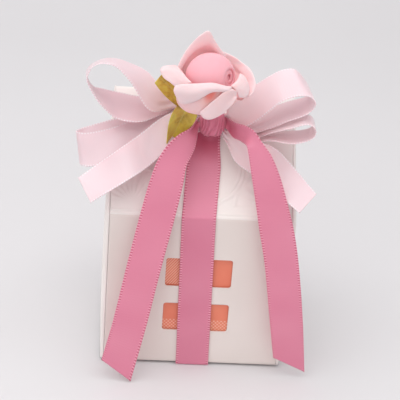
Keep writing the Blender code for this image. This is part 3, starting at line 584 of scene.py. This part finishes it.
def make_bow():
    """Four pale loops, two short pale tails and two long deep tails."""
    ribbon("upper_left_loop", [
        (-13.2, 4.4, 9.3, 50, 10, 0.60),
        (-20.4, -1.6, 10.9, 29, 31, 0.86),
        (-26.9, -2.1, 19.0, 4, 27, 1),
        (-33.1, -2.2, 23.4, -8, 17, 1),
        (-38.3, -2.6, 24.8, -9, 12, 1),
        (-42.6, -2.5, 23.4, -9, 6, 1),
        (-45.1, -2.5, 20.3, -6, -1, 1),
        (-45.2, -2.5, 17.5, -8, -4, 1),
        (-42.7, -2.5, 13.2, -2, -6, 1),
        (-39.0, -1.6, 10.3, 15, -4, 1),
        (-33.8, -0.7, 7.7, 30, 1, 1),
        (-25.6, -0.1, 6.7, 36, -2, 0.9),
        (-15.0, 4.6, 8.6, 50, 0, 0.72),
    ], (-1, 3, 6.4), (-1, 2, 6.4))
    ribbon("lower_left_loop", [
        (-14.0, 3.2, 2.8, 50, -6, 0.60),
        (-22.8, 1.6, -0.1, 48, -11, 0.86),
        (-34.3, -0.5, -3.6, 48, -13, 1),
        (-42.6, -2.3, -6.0, 50, -18, 1),
        (-46.4, -4.0, -6.9, 53, -18, 1),
        (-47.5, -6.4, -6.7, 55, -16, 1),
        (-46.1, -8.5, -6.5, 53, -16, 1),
        (-42.4, -8.9, -6.1, 53, -13, 1),
        (-34.9, -7.3, -4.2, 45, -14, 1),
        (-27.4, -3.4, -2.3, 46, -13, 1),
        (-20.8, -1.0, 0.7, 45, -13, 0.86),
        (-13.8, 1.5, 4.2, 50, -8, 0.66),
    ], (-1, 1, 1.6), (-1, 2, 1.6), pleat_phase=1.0)
    ribbon("left_pale_tail", [
        (-12.4, -3.6, 3.6, 60, -20, 0.61),
        (-17.8, -6.0, -0.4, 50, -15, 1),
        (-23.8, -9.2, -5.1, 48, -26, 1),
        (-30.5, -15.0, -8.2, 40, -25, 1),
        (-37.4, -17.4, -12.6, 31, -25, 1),
        (-44.3, -20.7, -16.8, 37, -36, 0.85),
    ], (-1, 4, 1.6), pleats=1.5)
    ribbon("left_tail", [
        (-7.0, -7.4, 1.4, -56, 76, 0.40),
        (-9.3, -10.6, -0.5, -40, 73, 0.68),
        (-11.9, -13.3, -3.2, -27, 77, 0.82),
        (-14.2, -15.6, -7.1, -14, 84, 0.86),
        (-15.9, -17.8, -14.1, -9, 89, 0.96),
        ("eave", -15.8, -4.6, 2.9, -11, 90, 1),
        ("eave", -19.8, -8.4, -16.7, -11, 90, 1),
        ("floor", -23.7, -11.4, 23.9, -11, 90, 1),
        ("floor", -27.8, -13.2, 4.6, -36, 96, 1.12),
    ], (-1, 5, 1.4), flipped=True, pleats=1.0)
    ribbon("right_tail", [
        (7.4, -6.5, 3.0, 104, -9, 0.52),
        (10.0, -10.4, 3.5, 108, -40, 0.54),
        (12.3, -13.7, 3.3, 58, 74, 0.46),
        (14.2, -15.8, 1.3, 18, 84, 0.46),
        (16.3, -17.2, -2.5, 11, 88, 0.64),
        (18.7, -18.5, -9.0, 6, 90, 0.80),
        (21.4, -19.8, -18.0, 1, 90, 0.92),
        ("eave", 26.6, -5.6, -0.3, 4, 90, 1),
        ("eave", 29.7, -6.8, -13.7, 4, 90, 1),
        ("floor", 33.4, -7.6, 26.6, 2, 90, 1),
        ("floor", 36.7, -6.7, 5.8, -25, 90, 1.12),
    ], (1, 5, 2.2), pleats=0.5)
    ribbon("right_pale_tail", [
        (8.9, -5.0, -3.9, 58, 12, 0.84),
        (15.0, -7.3, -6.3, 46, 32, 0.98),
        (20.8, -9.2, -8.5, 55, 44, 1),
        (27.1, -12.7, -13.2, 40, 35, 1),
        (34.5, -20.2, -18.0, 30, 47, 0.81),
    ], (1, 4, -2.4), pleats=1.5)
    ribbon("upper_right_loop", [
        (6.6, -0.2, 5.4, 64, -50, 0.80),
        (12.3, -1.2, 9.8, 50, -38, 0.95),
        (17.0, -2.3, 14.3, 36, -24, 1),
        (21.2, -3.6, 18.4, 32, -18, 1),
        (25.0, -4.1, 20.6, 33, -18, 1),
        (29.0, -4.4, 21.3, 30, -15, 1),
        (32.3, -3.6, 19.1, 13, -8, 1),
        (34.2, -3.5, 16.4, 6, -5, 1),
        (34.1, -3.0, 13.9, 6, -1, 1),
        (31.5, -2.5, 11.6, 11, 2, 1),
        (26.3, -1.6, 9.2, 14, 2, 1),
        (20.1, -0.1, 5.5, 21, -1, 0.86),
        (13.7, 1.4, 2.0, 34, -6, 0.57),
    ], (1, 3, 4.6), (1, 2, 3.0))
    ribbon("lower_right_loop", [
        (14.7, 1.0, -0.2, 45, -3, 0.46),
        (21.1, -1.0, 2.4, 0, 5, 0.86),
        (28.0, -5.0, 6.1, -6, 5, 1),
        (31.8, -6.0, 8.0, -5, 4, 1),
        (34.5, -5.9, 7.8, -3, 3, 1),
        (36.1, -5.7, 5.7, -3, 4, 1),
        (35.5, -5.4, 3.2, -3, 4, 1),
        (32.6, -4.9, 1.5, -1, 5, 1),
        (28.0, -3.9, 0.3, 1, 5, 1),
        (21.0, -1.0, -0.4, 2, 5, 0.86),
        (14.2, 1.5, -2.1, 45, -1, 0.5),
    ], (1, 1, 0.8), (1, 0, 0.8), pleat_phase=2.0)


def make_wrap():
    """The deep ribbon right round the house, drawn in under the knot."""
    waist, flare_length = 0.82, 12 * MM
    straight_steps, bend_steps = 12, 6
    clear = GAP + RIBBON / 2 + 0.05 * MM
    under, front, back = Vector((0, 0, -1)), Vector((0, -1, 0)), Vector((0, 1, 0))
    back_slope = Vector((0, -SLOPE_OUT.y, SLOPE_OUT.z))
    # Corners, with the outward directions of the faces before and after them
    corners = [
        (Vector((0, HALF_DEPTH, BASE_Z)), back, under),
        (Vector((0.8 * MM, -HALF_DEPTH, BASE_Z)), under, front),
        (Vector((-0.9 * MM, -HALF_DEPTH, EAVE_Z)), front, SLOPE_OUT),
        (Vector((1.0 * MM, KNOT_FOOT.y, KNOT_FOOT.z)), SLOPE_OUT, SLOPE_OUT),
        (Vector((0, 0, RIDGE_Z)), SLOPE_OUT, back_slope),
        (Vector((0, HALF_DEPTH, EAVE_Z)), back_slope, back),
    ]
    course = []
    for i, (corner, arriving, leaving) in enumerate(corners):
        bend = bend_steps if arriving != leaving else 0
        for step in range(bend + 1):
            outward = arriving.lerp(leaving, step / max(bend, 1)).normalized()
            course.append(corner + outward * clear)
        following = corners[(i + 1) % len(corners)][0] + leaving * clear
        last = course[-1]
        course += [last.lerp(following, step / straight_steps)
                   for step in range(1, straight_steps)]
    course.append(course[0].copy())
    lengths = measured(course)

    def middle(t):
        place = t * lengths[-1]
        i = max(j for j in range(len(course) - 1) if lengths[j] <= place + 1e-9)
        span = max(lengths[i + 1] - lengths[i], 1e-9)
        return course[i].lerp(course[i + 1], min((place - lengths[i]) / span, 1.0))

    def half(t):
        away = (middle(t) - KNOT_FOOT - SLOPE_UP * KNOT_RISE).length - KNOT_SIZE.y / 2
        flare = min(max(away / flare_length, 0.0), 1.0)
        share = waist + (1 - waist) * flare * flare * (3 - 2 * flare)
        return Vector((RIBBON_WIDTH * share / 2, 0, 0))

    piece, length = satin_strip("satin_wrap", lambda t: middle(t) - half(t),
                                lambda t: middle(t) + half(t), ring=True, pleats=2.0)
    dress(piece, DEEP_SATIN, "wrap_ribbon")


def make_knot():
    """The tied knot: a rounded lump drawn into slanting pleats."""
    pleat_beat, pleat_slant, pleat_depth, bluntness = 21, 2, 0.21, 0.6
    body = bmesh.new()
    bmesh.ops.create_uvsphere(body, u_segments=160, v_segments=96, radius=1.0)
    for vert in body.verts:
        out, side, up = vert.co
        around = math.atan2(out, up)
        phase = pleat_beat * side + pleat_slant * around + 0.9 * math.sin(2.2 * around + 1.0)
        ridge = abs(math.sin(phase / 1.6)) ** 0.55
        wrinkle = 1 + (pleat_depth + 0.06 * math.sin(phase * 0.43)) * (ridge - 0.8)
        swell = (1 - 0.5 * side * side) / math.sqrt(max(1 - side * side, 0.3))
        across = math.copysign(abs(side) ** bluntness, side)
        vert.co = (KNOT_CORE + Vector((across * KNOT_SIZE.x / 2, 0, 0))
                   + SLOPE_UP * (up * KNOT_SIZE.y / 2 * wrinkle * swell)
                   + SLOPE_OUT * (out * KNOT_SIZE.z / 2 * min(wrinkle, 1.03) * swell))

    def flat(place):
        """Keeps the whole knot between the hems of the weave."""
        place = place - KNOT_CENTRE
        return 5.5 + 0.6 * place.x / MM, place.z / MM

    laid_out(body, flat)
    dress(set_down("knot_pleats", body), DEEP_SATIN, "knot")


# Foam rose

def rose_point(azimuth, radius, height):
    """A point in the rose's own frame. Azimuth 0 is right, 90 is back, 270 is front."""
    angle = math.radians(azimuth)
    return (ROSE_CENTRE + ROSE_AXIS * height
            + (ROSE_RIGHT * math.cos(angle) + ROSE_BACK * math.sin(angle)) * radius)


def nested(ring, height):
    """How far from the rose's axis a petal of this ring stands where it hugs the bud."""
    offset = (ring + 0.5) * FOAM + (ring + 1) * FOAM_GAP
    share = height / (BUD_HEIGHT + offset)
    return (BUD_RADIUS + offset) * math.sqrt(max(1 - share * share, 0.0))


def petal(name, ring, root, *rows, hug=0.6, flush=None, fade=0.9):
    """A cupped foam petal from the calyx to its rim.

    root is the pair of azimuths of its foot. Each of rows runs across the petal as points of
    (azimuth in degrees, radius, height in mm), and the last row is the rim. ring counts the
    petal's place outwards from the bud, and below the share hug it stays outside that ring.
    flush is the middle (u, v) of a patch with the deep colour of the petal's root. A lower
    fade lightens the petal sooner on the way to its rim.
    """
    side_round, rim_round = 0.06, 0.07
    rim_shake, shake_scale = 0.35 * MM, 260
    flush_width, flush_height, flush_depth = 0.13, 0.15, 0.9
    foot_height = (ROOT_HEIGHT - ring * (FOAM + FOAM_GAP)) / MM
    foot_radius = nested(ring, foot_height * MM) / MM
    foot = [(azimuth, foot_radius, foot_height) for azimuth in root]
    edges = [[Vector(point) for point in row] for row in (foot, *rows)]

    def surface(u, v):
        azimuth, radius, height = smooth_path([smooth_path(edge, u) for edge in edges], v)
        if v < hug:
            radius = max(radius, nested(ring, height * MM) / MM)
        place = rose_point(azimuth, radius * MM, height * MM)
        return place + ROSE_AXIS * (noise.noise(place * shake_scale) * rim_shake * v * v)

    grid, us, vs = swept(surface, columns=44, rows=40)
    round_off = (rounded(np.minimum(us, 1 - us) / side_round)
                 * rounded((1 - vs) / rim_round))
    # Rounded at its edges, and a little thinner towards the rim
    half = FOAM / 2 * (0.35 + 0.65 * round_off) * (1 - 0.25 * vs)
    along = vs ** fade
    if flush:
        along = along - flush_depth * np.exp(-((us - flush[0]) / flush_width) ** 2
                                             - ((vs - flush[1]) / flush_height) ** 2)
    piece = solid_sheet("foam_" + name, grid, half, us, along)
    dress(piece, PETAL_FOAM, name)


def make_rose():
    """The bud and six petals, each inner one before those that lie over it."""
    make_bud()
    petal("back_petal", 0, (93, 125),
          [(58, 9.9, -2.0), (84, 9.8, 0.0), (108, 9.8, 2.0), (136, 10.0, 0.0), (168, 10.4, -5.0)],
          [(60, 9.9, 0.0), (82, 9.2, 4.6), (102, 8.6, 8.0), (134, 10.4, 3.8), (168, 11.4, -3.0)],
          [(60, 10.8, 1.5), (82, 10.0, 7.0), (103, 9.2, 12.8), (132, 11.4, 6.6),
           (165, 12.4, -1.2)], fade=0.4)
    petal("left_petal", 0, (186, 214),
          [(170, 9.9, -2.0), (190, 9.9, -2.0), (208, 9.9, -2.0), (226, 9.9, -2.0)],
          [(163, 12.4, 0.6), (178, 11.2, 2.4), (195, 10.4, 3.2), (212, 10.3, 3.4),
           (228, 10.5, 3.4)],
          [(166, 14.6, 1.0), (178, 14.4, 2.2), (192, 12.8, 3.0), (209, 12.0, 3.0),
           (226, 11.2, 3.2)],
          [(167, 17.0, 0.2), (176, 17.6, 0.6), (184, 16.6, 0.0), (195, 15.0, 0.0),
           (208, 13.5, 0.2), (224, 11.8, 1.8)], hug=0.35)
    petal("inner_right_petal", 0, (-42, -18),
          [(-50, 9.8, -2.0), (-36, 9.8, -2.0), (-22, 9.8, -2.0), (-8, 9.8, -2.0)],
          [(-52, 10.3, 3.0), (-40, 10.2, 3.4), (-28, 10.0, 3.2), (-8, 9.7, 3.0)],
          [(-47, 11.8, 2.0), (-38, 12.4, 2.0), (-26, 12.4, 2.0), (-8, 10.8, 2.9)],
          [(-44, 13.1, -0.5), (-35, 14.2, -1.5), (-25, 14.4, -1.0), (-15, 13.3, 0.5),
           (-8, 11.4, 2.2)], hug=0.35, fade=0.5)
    petal("front_left_petal", 1, (214, 285),
          [(216, 12.6, -6.7), (232, 12.8, -7.0), (252, 12.2, -6.8), (286, 11.6, -6.4)],
          [(214, 14.4, -1.6), (232, 13.8, -2.6), (254, 12.5, -2.6), (290, 11.6, -1.6)],
          [(214, 14.6, 0.8), (230, 12.4, 1.6), (256, 10.8, 2.4), (296, 11.3, 1.6)],
          [(215, 15.4, 2.5), (222, 13.4, 3.6), (239, 10.7, 4.4), (270, 9.6, 5.4),
           (304, 11.3, 4.2)],
          [(218, 16.4, 1.6), (225, 15.2, 1.6), (242, 13.2, 2.9), (269, 11.4, 5.0),
           (301, 12.2, 4.1)],
          [(221, 15.9, -0.3), (228, 15.0, -2.8), (246, 13.3, -0.8), (268, 11.8, 3.4),
           (298, 11.8, 3.2)], hug=0.5, flush=(0.76, 0.5), fade=0.42)
    petal("outer_right_petal", 1, (0, 30),
          [(-24, 11.4, -6.0), (8, 11.6, -5.6), (40, 11.2, -4.0), (70, 11.0, -3.0)],
          [(-24, 13.2, -4.0), (8, 13.6, -3.0), (40, 12.4, -1.6), (72, 11.4, -0.4)],
          [(-24, 14.6, -3.0), (-8, 15.6, -2.2), (8, 15.4, -1.0), (25, 14.8, -0.3),
           (46, 13.2, 0.8), (72, 12.0, 2.2)], fade=0.45)
    petal("front_right_petal", 2, (290, 316),
          [(288, 12.2, -3.0), (300, 12.2, -3.0), (312, 12.2, -3.0)],
          [(290, 12.0, 3.4), (302, 12.2, 3.8), (312, 12.4, 1.9)],
          [(271, 13.0, 0.5), (288, 13.9, 0.0), (306, 13.6, 1.5)],
          [(254, 13.6, -4.6), (261, 14.7, -6.0), (271, 15.1, -6.0), (283, 14.9, -4.2),
           (293, 14.8, -1.8), (300, 14.6, -0.2), (308, 14.0, 1.6)], hug=0.4)


def bud_place(place):
    """A place on the round bud, flattened and set in the rose's frame."""
    return (ROSE_CENTRE + ROSE_RIGHT * place.x + ROSE_BACK * place.y
            + ROSE_AXIS * place.z * (BUD_HEIGHT / BUD_RADIUS))


def make_bud():
    """The rolled bud: a core and two spiral turns of foam, open towards the front right."""
    core_radius, roll_depth = BUD_RADIUS - 2.15 * MM, 1.7 * MM
    mouth_round, side_round = 0.04, 0.015
    body = bmesh.new()
    bmesh.ops.create_uvsphere(body, u_segments=72, v_segments=48, radius=core_radius)
    for vert in body.verts:
        vert.co = bud_place(vert.co)
    laid_out(body, lambda place: (0.5, 0.45))
    core = set_down("foam_core", body)
    dress(core, BUD_FOAM, "rose_bud")
    opening = (Matrix.Rotation(math.radians(-27), 3, "Z")
               @ Matrix.Rotation(math.radians(69), 3, "Y"))
    start, turn, hem = math.radians(-485), math.radians(760), math.radians(158)
    inner_mouth, mouth_growth = 2, 26

    def surface(u, v):
        around = start + turn * u
        mouth = math.radians(inner_mouth + mouth_growth * u)
        polar = mouth + (hem - mouth) * v
        seat = FOAM * 0.3 * (1 - rounded(v / mouth_round))
        radius = BUD_RADIUS - FOAM / 2 - roll_depth * (1 - u) - seat
        ray = Vector((math.sin(polar) * math.cos(around), math.sin(polar) * math.sin(around),
                      math.cos(polar)))
        return bud_place(opening @ ray * radius)

    grid, us, vs = swept(surface, columns=200, rows=44)
    round_off = (rounded(np.minimum(us, 1 - us) / side_round)
                 * rounded(np.minimum(vs, 1 - vs) / mouth_round))
    piece = solid_sheet("foam_wrap", grid, FOAM / 2 * (0.4 + 0.6 * round_off), us, 0.5)
    dress(piece, BUD_FOAM, "bud_petal")


def leaf(name, root, tip, width, phases, taper=0.7, back=(-0.2, 0.85, -0.45)):
    """A creased leaf between two places given in mm from the knot's middle.

    phases are the shares of a full leaf's outline at which this one starts and ends. A higher
    taper makes it slimmer towards them, and back is the side that it turns away.
    """
    half_thickness, ripple_height = 0.16 * MM, 0.12 * MM
    start = KNOT_CENTRE + Vector(root) * MM
    end = KNOT_CENTRE + Vector(tip) * MM
    run = (end - start).normalized()
    across = run.cross(Vector(back)).normalized()
    lift = across.cross(run)

    def surface(u, v):
        phase = math.pi * (phases[0] + (phases[1] - phases[0]) * v)
        half = width / 2 * MM * math.sin(phase) ** taper
        out = 2 * u - 1
        crease = 0.12 * width * MM * (1 - abs(out))
        ripple = ripple_height * math.sin(9 * v + 3 * u) * abs(out)
        return start.lerp(end, v) + across * half * out + lift * (crease + ripple)

    grid, us, vs = swept(surface, columns=24, rows=48)
    piece = solid_sheet("cloth_" + name, grid, half_thickness, us, vs)
    dress(piece, LEAF_CLOTH, name)


# House

def relief(x, rise):
    """The blind embossing on a roof slope, from 0 to 1, at x across and rise up in mm.

    Two lines follow the eave, a double ring stands in the middle, and a ribbed fan under a
    hoop stands at each side of it.
    """
    ring_x, ring_rise, ring_clear = 0.6, 19.0, 15.6
    fan_rise, fan_hub, fan_tip, fan_hoop, fan_ribs = 4.6, 2.4, 13.2, 13.6, 22

    def ridge(distance, width=0.34):
        return math.exp(-(distance / width) ** 2)

    reach = math.hypot(x - ring_x, rise - ring_rise)
    height = max(ridge(rise - 1.7, 0.28), 0.8 * ridge(rise - 0.4, 0.3),
                 ridge(reach - 14.4), ridge(reach - 13.0, 0.26))
    for fan_x in (-25.0, 25.6):
        side, up = x - fan_x, rise - fan_rise
        if up <= 0 or reach <= ring_clear:
            continue
        away = math.hypot(side, up)
        height = max(height, ridge(away - fan_hoop))
        if up > 0.4 and fan_hub < away < fan_tip:
            rib = math.cos(math.atan2(up, side) * fan_ribs) * 0.5 + 0.5
            ends = min((away - fan_hub) / 2, 1) * min(fan_tip - away, 1)
            height = max(height, 0.75 * rib * ends)
    return height


def window_rim(x, z):
    """The pressed edge around the two die-cut windows, from 0 to 1, at x and z in mm."""
    height = 0.0
    for sill in WINDOW_SILLS:
        side = abs(x - WINDOW_SHIFT / MM) - WINDOW_WIDTH / MM / 2
        up = abs(z - (BASE_Z + sill + WINDOW_HEIGHT / 2) / MM) - WINDOW_HEIGHT / MM / 2
        away = math.hypot(max(side, 0), max(up, 0))
        height = max(height, math.exp(-(away / 0.45) ** 2))
    return height


def make_sleeve():
    """The folded strip with rounded folds, an embossed roof and two die-cut windows."""
    emboss_height, rim_height = 0.28 * MM, 0.10 * MM
    fold_radius, fold_steps, column_width = 0.8 * MM, 5, 0.4 * MM
    inner, eave_drop, ridge_drop = CARD / 2, 0.12 * MM, CARD * 0.8
    wall, floor, eave = HALF_DEPTH - inner, BASE_Z + inner, EAVE_Z - eave_drop
    corners = [Vector((0, -wall, floor)), Vector((0, -wall, eave)),
               Vector((0, 0, RIDGE_Z - ridge_drop)), Vector((0, wall, eave)),
               Vector((0, wall, floor))]
    # Row pitch on the front wall, front roof, back roof, back wall and floor
    pitches = (0.4 * MM, 0.3 * MM, 1.2 * MM, 2.0 * MM, 2.0 * MM)
    course = []
    for i, (here, pitch) in enumerate(zip(corners, pitches)):
        before, after = corners[i - 1], corners[(i + 1) % len(corners)]
        start = here + (before - here).normalized() * fold_radius
        end = here + (after - here).normalized() * fold_radius
        for step in range(fold_steps + 1):
            t = step / fold_steps
            course.append(start * (1 - t) ** 2 + here * 2 * t * (1 - t) + end * t * t)
        following = after + (here - after).normalized() * fold_radius
        steps = max(round((following - end).length / pitch), 2)
        course += [end.lerp(following, step / steps) for step in range(1, steps)]
    half_width = HALF_WIDTH + 0.22 * MM
    xs = np.linspace(-half_width, half_width, round(2 * half_width / column_width) + 1)
    grid = np.zeros((len(course), len(xs), 3))
    for j, place in enumerate(course):
        front_wall = abs(place.y + wall) < 1e-6 and place.z < EAVE_Z - MM
        front_roof = place.y < -1.5 * MM and place.z > EAVE_Z
        rise = (place.z - EAVE_Z) * SLOPE_LENGTH / RIDGE_RISE / MM
        for i, x in enumerate(xs):
            point = Vector((x, place.y, place.z))
            if front_roof:
                point += SLOPE_OUT * emboss_height * relief(x / MM, rise)
            elif front_wall:
                point.y -= rim_height * window_rim(x / MM, place.z / MM)
            grid[j, i] = point
    piece = solid_sheet("card_sleeve", grid, CARD / 2, xs / MM,
                        np.arange(len(course))[:, None], ring=True)
    for sill in WINDOW_SILLS:
        cut_window(piece, sill)
    recalculate(piece.data)
    dress(piece, CARD_WHITE, "house_sleeve")


def cut_window(piece, sill):
    """Cuts one rounded window through the front wall of the sleeve."""
    cutter_depth, corner_radius = 4 * MM, 1.0 * MM
    body = bmesh.new()
    bmesh.ops.create_cube(body, size=1.0)
    bmesh.ops.scale(body, verts=body.verts, vec=(WINDOW_WIDTH, cutter_depth, WINDOW_HEIGHT))
    bmesh.ops.translate(body, verts=body.verts, vec=(
        WINDOW_SHIFT, -HALF_DEPTH, BASE_Z + sill + WINDOW_HEIGHT / 2))
    through = [edge for edge in body.edges
               if abs(edge.verts[0].co.y - edge.verts[1].co.y) > cutter_depth / 2]
    bmesh.ops.bevel(body, geom=through, offset=corner_radius, segments=6, profile=0.5,
                    affect="EDGES")
    cutter = set_down("window_cutter", body)
    cut = piece.modifiers.new("Window", "BOOLEAN")
    cut.operation = "DIFFERENCE"
    cut.solver = "EXACT"
    cut.object = cutter
    bpy.context.view_layer.update()
    depsgraph = bpy.context.evaluated_depsgraph_get()
    finished = bpy.data.meshes.new_from_object(piece.evaluated_get(depsgraph))
    piece.modifiers.clear()
    piece.data = finished
    bpy.data.objects.remove(cutter)


def make_end(side):
    """A crowned gable of card, bent in all round to the sleeve's end."""
    lip, roof_lip, roof_gap, crown_height = 1.1 * MM, 2.0 * MM, 0.12 * MM, 1.6 * MM
    rows, columns, ridge_step = 70, 22, 0.3 * MM
    front, back, low = CARD / 2 - HALF_DEPTH, HALF_DEPTH - CARD / 2, BASE_Z + 0.4 * MM
    # Columns stand closer together where the lip bends in
    edge = [0.0, 0.03, 0.08, 0.17, 0.3, 0.5, 0.75, 1.0]
    ys = [front + lip * share for share in edge]
    ys += list(np.linspace(front + lip, -ridge_step, columns))[1:]
    ys += [0.0]
    ys += list(np.linspace(ridge_step, back - lip, columns))[:-1]
    ys += [back - lip * share for share in reversed(edge)]

    def surface(y, v):
        roof = EAVE_Z + (HALF_DEPTH - abs(y)) * RIDGE_RISE / HALF_DEPTH
        top = max(roof - roof_gap / SLOPE_OUT.z, EAVE_Z - 0.1 * MM)
        z = low + (top - low) * (1 - (1 - v) ** 1.25)
        t = (z - BASE_Z) / (RIDGE_Z - BASE_Z)
        crown = CARD / 2 + crown_height * (0.45 + 2.2 * t - 2.55 * t * t)
        stand = crown * min(rounded((top - z) * SLOPE_OUT.z / roof_lip),
                            rounded((y - front) / lip), rounded((back - y) / lip))
        return side * (HALF_WIDTH + GAP + stand), y, z

    grid = np.array([[surface(y, j / rows) for y in ys] for j in range(rows + 1)])
    end = "left_end" if side < 0 else "right_end"
    piece = solid_sheet("card_" + end, grid, CARD / 2, np.array(ys) / MM, grid[..., 2] / MM)
    dress(piece, CARD_WHITE, end + "_panel", body=end)


def repaint(node, material):
    """Gives a CAD node that keeps its shape a finished material."""
    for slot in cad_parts[node].material_slots:
        slot.material = material


# Studio

def make_stage():
    """A pale floor that sweeps up into a wall behind the box, in metres."""
    half_width, front, bend, radius, top, steps = 1.8, -0.9, 0.35, 0.5, 2.2, 12
    profile = [(front, 0.0), (bend, 0.0)]
    for step in range(1, steps + 1):
        angle = math.radians(90 * step / steps)
        profile.append((bend + radius * math.sin(angle), radius * (1 - math.cos(angle))))
    profile.append((bend + radius, top))
    body = bmesh.new()
    left = [body.verts.new((-half_width, y, z)) for y, z in profile]
    right = [body.verts.new((half_width, y, z)) for y, z in profile]
    for i in range(len(profile) - 1):
        body.faces.new((left[i], right[i], right[i + 1], left[i + 1])).smooth = True
    floor = set_down("studio_floor", body)
    floor.data.materials.append(stage_material())


def area_light(name, place, target, size, power):
    """A light at a place in metres, turned to its target, with its power in watts."""
    data = bpy.data.lights.new(name, "AREA")
    data.shape = "RECTANGLE"
    data.size, data.size_y = size
    data.energy = power
    lamp = placed(name, data)
    lamp.location = place
    direction = Vector(target) - Vector(place)
    lamp.rotation_euler = direction.to_track_quat("-Z", "Y").to_euler()


def make_lights():
    """A broad light overhead, two weaker ones and an even white room."""
    world = bpy.data.worlds.new("studio")
    bpy.context.scene.world = world
    world.use_nodes = True
    background = world.node_tree.nodes["Background"]
    background.inputs["Color"].default_value = (0.95, 0.945, 0.94, 1)
    background.inputs["Strength"].default_value = 0.70
    area_light("overhead", (-0.12, -0.15, 0.96), (0, 0, 0.05), (1.2, 1.0), 7.0)
    area_light("front_left", (-0.6, -0.8, 0.55), (0, 0, 0.06), (0.9, 0.7), 1.4)
    area_light("right", (0.85, -0.3, 0.45), (0, 0, 0.06), (0.5, 0.6), 0.35)


def make_camera():
    """A camera at the photograph's place, turned by YAW, PITCH and ROLL."""
    forward = Vector((math.sin(YAW) * math.cos(PITCH), math.cos(YAW) * math.cos(PITCH),
                      -math.sin(PITCH)))
    right = Vector((math.cos(YAW), -math.sin(YAW), 0))
    up = right.cross(forward)
    rolled_right = right * math.cos(ROLL) + up * math.sin(ROLL)
    rolled_up = up * math.cos(ROLL) - right * math.sin(ROLL)
    data = bpy.data.cameras.new("photo_camera")
    data.lens = LENS_MM
    data.sensor_width = 36.0
    data.clip_start = 0.02
    data.clip_end = 10.0
    camera = placed("photo_camera", data)
    turn = Matrix((rolled_right, rolled_up, -forward)).transposed()
    camera.matrix_world = Matrix.Translation(CAMERA_PLACE) @ turn.to_4x4()
    bpy.context.scene.camera = camera


# The scene

make_camera()
make_lights()
bpy.context.scene.view_settings.view_transform = "Standard"
CARD_WHITE = card_material()
ORANGE = liner_material()
# The colour given for near the knot is painted shade on the deep satin and painted light on the
# pale satin
DEEP_SATIN = satin_material("deep_satin_weave", srgb(220, 122, 150), srgb(230, 139, 164),
                            srgb(200, 84, 116), srgb(243, 168, 188), hem=0.85, glow=0.1,
                            knot_light_and_shade=srgb(196, 70, 104), reach=16)
PALE_SATIN = satin_material("pale_satin_weave", srgb(241, 197, 205), srgb(244, 207, 214),
                            srgb(240, 202, 211), srgb(252, 232, 237), hem=0.5, glow=0.6,
                            knot_light_and_shade=srgb(255, 214, 218), reach=40)
BUD_FOAM = foam_material("bud_foam_pink", srgb(236, 120, 132), srgb(247, 164, 174),
                         srgb(252, 180, 190), srgb(253, 196, 204))
PETAL_FOAM = foam_material("petal_foam_blush", srgb(244, 142, 134), srgb(249, 196, 194),
                           srgb(245, 202, 204), srgb(246, 213, 216))
LEAF_CLOTH = leaf_material()
STEM_PAPER = stem_material()
FINISHES = {"window_liner": ORANGE, "rose_calyx": STEM_PAPER, "rose_stem": STEM_PAPER}
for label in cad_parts:
    repaint(label, FINISHES.get(label, CARD_WHITE))
make_sleeve()
make_end(-1)
make_end(1)
make_knot()
make_wrap()
make_bow()
make_rose()
leaf("upper_leaf", (-9.6, -5.6, 11.6), (-19.9, -4.2, 20.6), 7.4, (0.24, 0.74))
leaf("lower_leaf", (-9.7, -7.8, 10.4), (-15.1, -7.9, -3.3), 9.8, (0.40, 0.84), taper=1.8,
     back=(-0.5, 0.78, -0.38))
make_stage()
